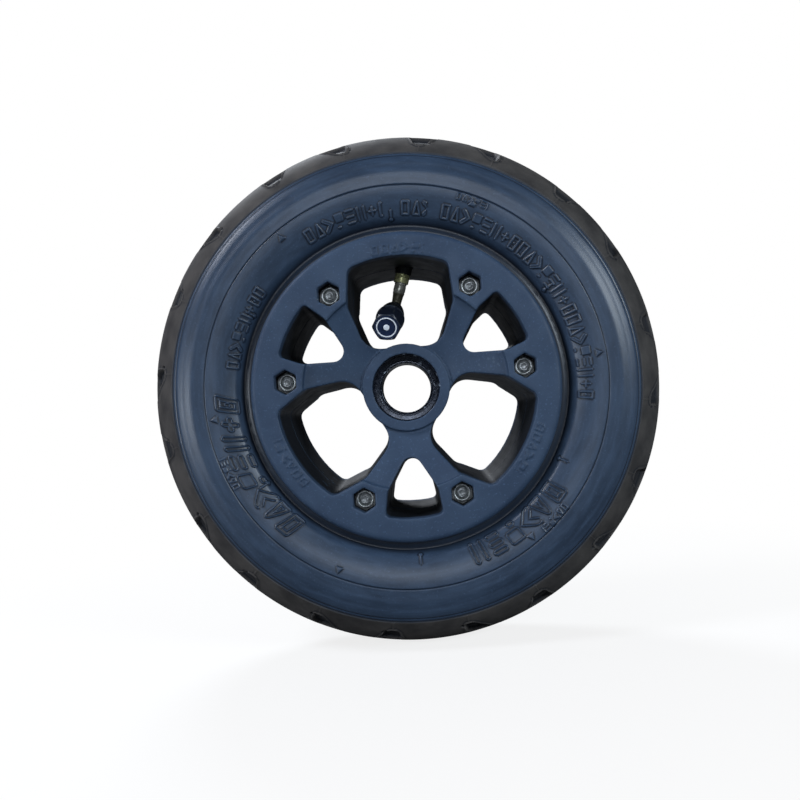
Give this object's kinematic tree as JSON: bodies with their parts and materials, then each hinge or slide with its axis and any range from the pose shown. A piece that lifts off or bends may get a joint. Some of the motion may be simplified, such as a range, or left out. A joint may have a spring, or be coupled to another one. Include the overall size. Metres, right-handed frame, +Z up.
{
  "type": "pneumatic wheel",
  "caption": "Small pneumatic tyre on a bolted two-piece spoked hub with see-through windows, open bearing seats and a bent tube valve with a hexagonal cap.",
  "frame": {"origin": "the wheel's centre, on its axis at the mid plane of the tyre", "axes": "+Y along the wheel's axis towards the bolt-head side, so the valve and nut side faces -Y; +Z up through the valve window; +X to the right seen from the valve side"},
  "size_m": [0.175, 0.05, 0.175],
  "materials": {
    "tyre_rubber": "satin moulded rubber with raised lines, slightly blue",
    "bead_wire": "bronze-coated steel wire",
    "tube_rubber": "matt butyl rubber",
    "hub_plastic": "fine-grained glass-filled plastic",
    "sleeve_metal": "black anodised, semi-gloss",
    "bolt_steel": "zinc-plated steel",
    "washer_steel": "zinc-plated steel",
    "nut_steel": "bright zinc-plated steel",
    "nylon": "natural nylon",
    "stem_brass": "dull brass",
    "ferrule_brass": "bright yellow brass",
    "boot_rubber": "smooth black rubber",
    "core_brass": "turned brass",
    "core_gasket": "red sealing rubber",
    "spring_steel": "drawn spring steel",
    "cap_plastic": "satin black plastic",
    "mark_white": "white printed mark"
  },
  "bodies": {
    "wheel": {"tyre": "tyre_rubber", "front_bead_wire": "bead_wire", "rear_bead_wire": "bead_wire", "inner_tube": "tube_rubber", "front_hub_half": "hub_plastic", "rear_hub_half": "hub_plastic", "bearing_sleeve": "sleeve_metal", "hub_bolts": "bolt_steel", "bolt_washers": "washer_steel", "hub_nuts": "nut_steel", "nut_lock_rings": "nylon", "valve_patch": "tube_rubber", "valve_stem": "stem_brass", "valve_ferrule": "ferrule_brass", "valve_boot": "boot_rubber", "valve_core_body": "core_brass", "valve_core_gasket": "core_gasket", "valve_core_spring": "spring_steel"},
    "valve_pin": {"valve_core_pin": "core_brass", "valve_core_seal": "tube_rubber"},
    "cap_washer": {"cap_seal": "tube_rubber"},
    "cap": {"valve_cap": "cap_plastic", "cap_mark": "mark_white"}
  },
  "joints": [
    {"name": "cap_lift", "type": "slide", "parent": "wheel", "child": "cap_washer", "axis": [-0.1364, -0.9018, -0.41], "range_m": [0, 0.00555]},
    {"name": "cap_turn", "type": "hinge", "parent": "cap_washer", "child": "cap", "pos_m": [-0.0043, -0.01623, 0.02212], "axis": [-0.1364, -0.9018, -0.41], "range_deg": [0, 2520]},
    {"name": "valve_pin_press", "type": "slide", "parent": "wheel", "child": "valve_pin", "axis": [0.1364, 0.9018, 0.41], "range_m": [0, 0.0011], "stiffness_N_per_m": 50, "deforming": ["valve_core_spring"]}
  ],
  "couplings": [
    {"joint": "cap_turn", "follows": "cap_lift", "rad_per_m": 7913.3}
  ]
}
